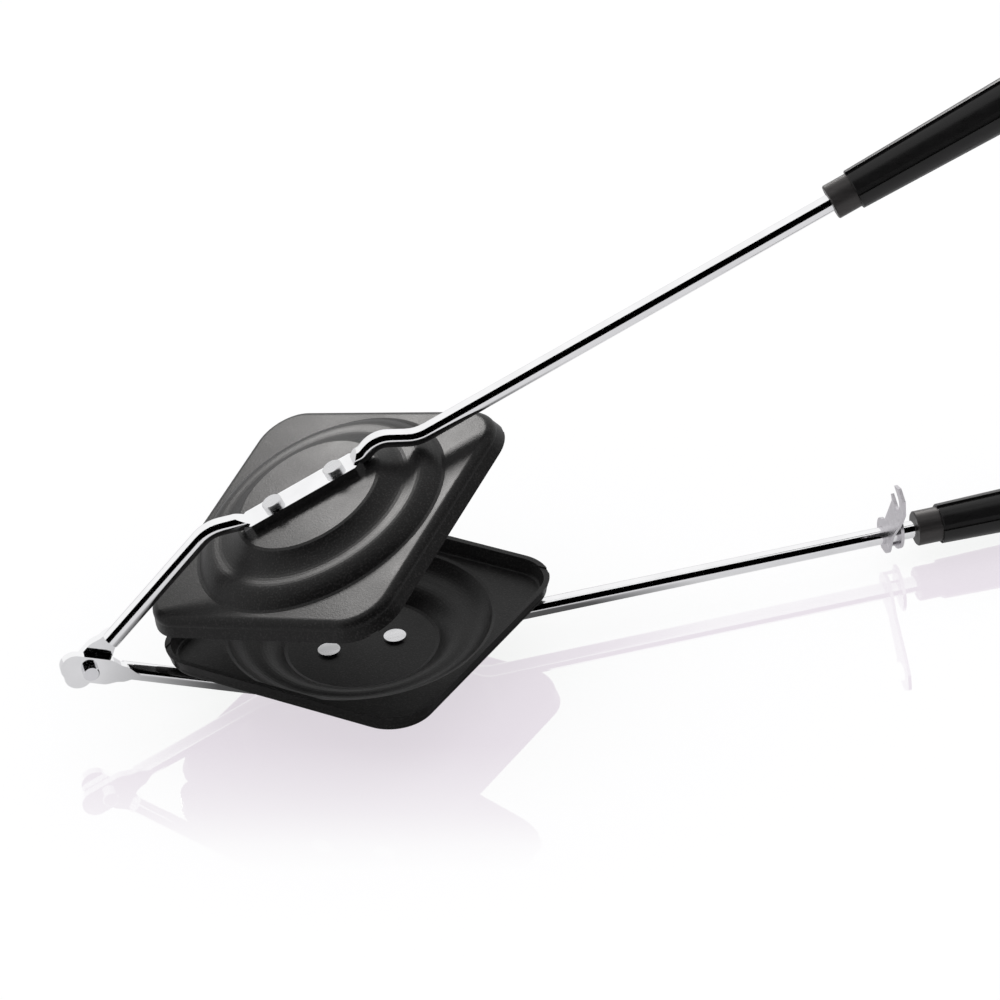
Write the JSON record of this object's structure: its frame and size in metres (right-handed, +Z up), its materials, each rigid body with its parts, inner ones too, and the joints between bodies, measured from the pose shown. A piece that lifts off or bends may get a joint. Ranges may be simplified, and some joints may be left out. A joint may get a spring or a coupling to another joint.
{
  "type": "hinged pie iron",
  "caption": "Hand-held pie iron: two square pressed pans riveted to long hinged rods with fluted grips, held shut by a swinging hook latch.",
  "frame": {"origin": "on the surface the iron stands on, under the middle of its overall length and on the middle plane of the rods", "axes": "+X along the lower rod from the hinge to the grips, +Y away from the side that shows the hinge pin's head, +Z up, square to the lower pan's rim"},
  "size_m": [0.4366, 0.1386, 0.2045],
  "materials": {
    "non_stick_pan": "satin black non-stick coating, finely speckled",
    "chromed_rod": "bright chrome plate",
    "pan_rivet": "bright, lightly brushed",
    "hinge_pin": "bright plate",
    "zinc_hardware": "zinc plate",
    "ferrule": "satin dark grey",
    "black_grip": "satin moulded black",
    "latch_sheet": "bright plated sheet"
  },
  "bodies": {
    "lower_half": {"lower_pan": "non_stick_pan", "lower_rod": "chromed_rod", "lower_pan_rivets": "pan_rivet", "hinge_pin": "hinge_pin", "hinge_washer": "zinc_hardware", "lower_ferrule": "ferrule", "lower_grip": "black_grip", "lower_grip_washer": "zinc_hardware", "lower_grip_nut": "zinc_hardware"},
    "upper_half": {"upper_pan": "non_stick_pan", "upper_rod": "chromed_rod", "upper_pan_rivets": "pan_rivet", "upper_ferrule": "ferrule", "upper_grip": "black_grip", "upper_grip_washer": "zinc_hardware", "upper_grip_nut": "zinc_hardware"},
    "latch": {"latch": "latch_sheet"}
  },
  "joints": [
    {"name": "hinge", "type": "hinge", "parent": "lower_half", "child": "upper_half", "pos_m": [-0.2082, 0, 0.02675], "axis": [0, -1, 0], "range_deg": [-21.5, 158.5]},
    {"name": "latch_swing", "type": "hinge", "parent": "lower_half", "child": "latch", "pos_m": [0.0853, 0, 0.01175], "axis": [1, 0, 0], "range_deg": [-34, 62]}
  ]
}
